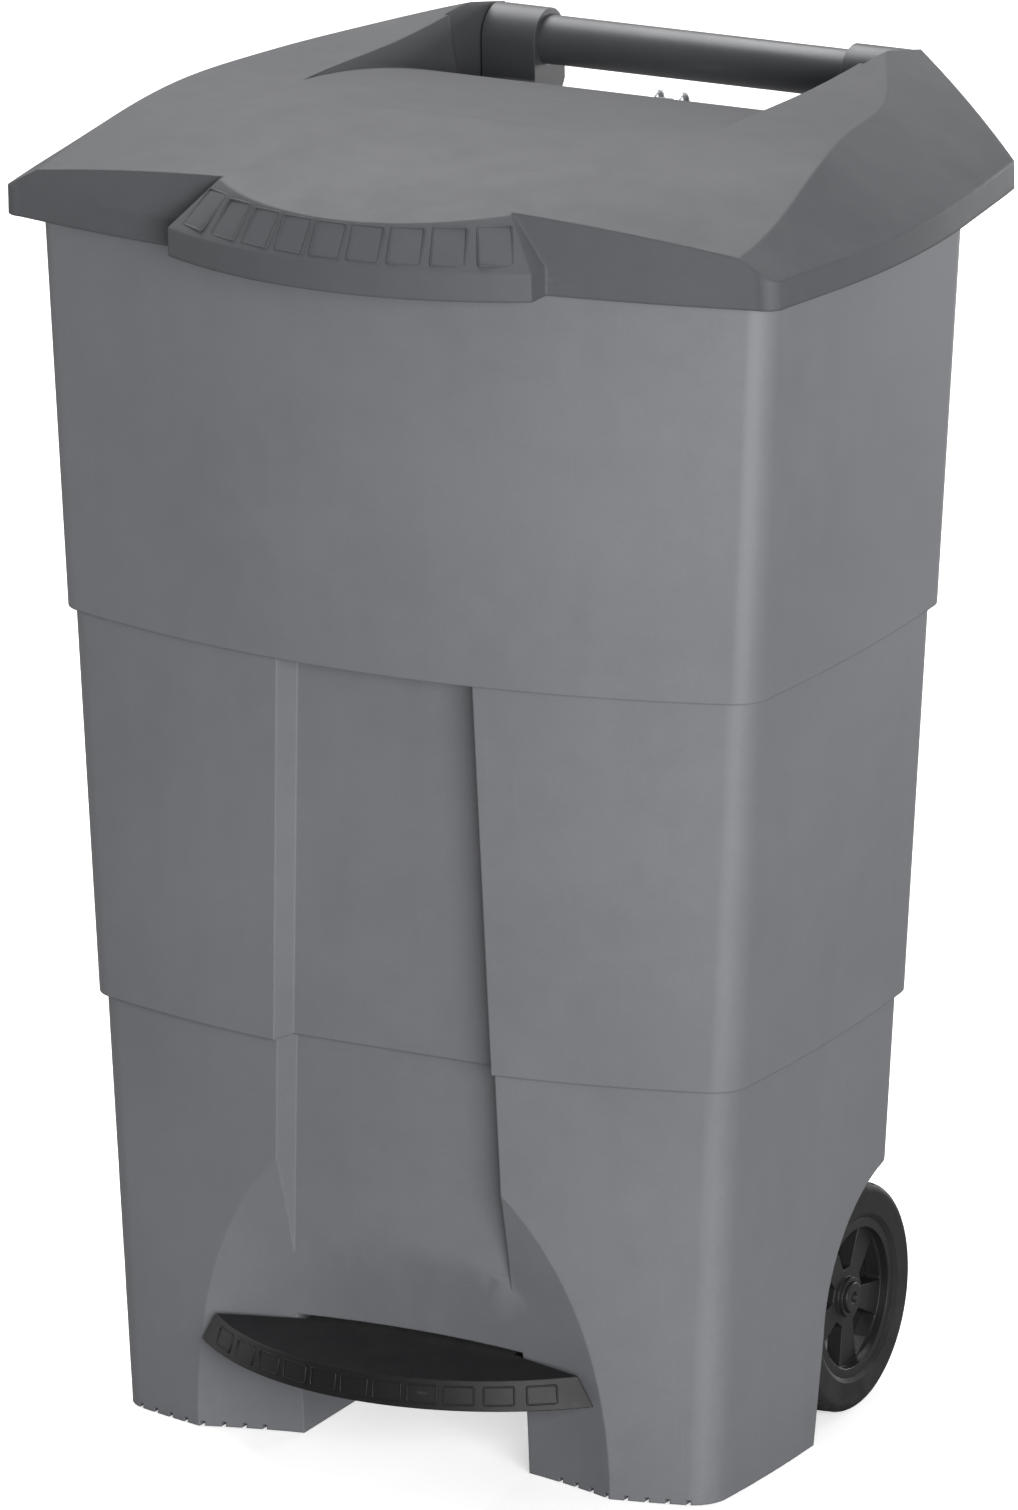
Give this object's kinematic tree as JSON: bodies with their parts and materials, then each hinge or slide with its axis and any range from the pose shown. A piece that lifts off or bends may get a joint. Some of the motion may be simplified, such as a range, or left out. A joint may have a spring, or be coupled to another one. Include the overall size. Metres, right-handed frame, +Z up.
{
  "type": "wheeled pedal bin",
  "caption": "Tall wheeled refuse bin with a hinged lid that a foot pedal at the front raises through a push rod behind the tub.",
  "frame": {"origin": "centre of the footprint bounding box, on the floor", "axes": "+Z up from the floor, -Y towards the front with the pedal, +X to the bin's own left as it faces -Y, which is the right hand of someone who stands in front of it"},
  "size_m": [0.578, 0.5134, 0.8515],
  "materials": {
    "tub_plastic": "fine moulded grain",
    "lid_plastic": "fine moulded grain",
    "black_plastic": "fine moulded grain",
    "tyre_rubber": "matt rubber with tread lugs",
    "buffer_rubber": "matt",
    "zinc_steel": "zinc plated"
  },
  "bodies": {
    "tub_body": {"tub": "tub_plastic", "handle_tube": "lid_plastic", "handle_bracket_left": "lid_plastic", "handle_bracket_right": "lid_plastic", "hinge_pin_left": "zinc_steel", "hinge_pin_right": "zinc_steel", "bracket_screws": "zinc_steel", "rod_guide_lower": "black_plastic", "rod_guide_upper": "black_plastic", "guide_screws": "zinc_steel", "stub_axle_left": "zinc_steel", "stub_axle_right": "zinc_steel", "axle_spacer_left": "black_plastic", "axle_spacer_right": "black_plastic", "axle_clip_left": "zinc_steel", "axle_clip_right": "zinc_steel", "pedal_axle": "zinc_steel", "pedal_axle_clips": "zinc_steel"},
    "lid": {"lid": "lid_plastic", "lid_buffers": "buffer_rubber", "lift_lug": "zinc_steel", "lug_screws": "zinc_steel"},
    "pedal": {"pedal_tread": "black_plastic", "pedal_lever": "zinc_steel", "pedal_screws": "zinc_steel"},
    "push_rod": {"push_rod": "zinc_steel", "rod_top_pin": "zinc_steel", "rod_foot_pin": "zinc_steel"},
    "wheel_left": {"wheel_rim_left": "black_plastic", "tyre_left": "tyre_rubber", "hub_cap_left": "black_plastic"},
    "wheel_right": {"wheel_rim_right": "black_plastic", "tyre_right": "tyre_rubber", "hub_cap_right": "black_plastic"}
  },
  "joints": [
    {"name": "lid_hinge", "type": "hinge", "parent": "tub_body", "child": "lid", "pos_m": [0, 0.23625, 0.822], "axis": [-1, 0, 0], "range_deg": [0, 68]},
    {"name": "pedal_hinge", "type": "hinge", "parent": "tub_body", "child": "pedal", "pos_m": [0, -0.10975, 0.06], "axis": [1, 0, 0], "range_deg": [0, 19.05]},
    {"name": "rod_slide", "type": "slide", "parent": "tub_body", "child": "push_rod", "axis": [0, 0.1513, 0.9885], "range_m": [0, 0.0622]},
    {"name": "wheel_left_spin", "type": "hinge", "parent": "tub_body", "child": "wheel_left", "pos_m": [-0.1945, 0.03025, 0.075], "axis": [1, 0, 0], "continuous": true},
    {"name": "wheel_right_spin", "type": "hinge", "parent": "tub_body", "child": "wheel_right", "pos_m": [0.1945, 0.03025, 0.075], "axis": [1, 0, 0], "continuous": true}
  ],
  "couplings": [
    {"joint": "pedal_hinge", "follows": "lid_hinge", "ratio": 0.27928},
    {"joint": "rod_slide", "follows": "lid_hinge", "m_per_rad": 0.052287}
  ]
}
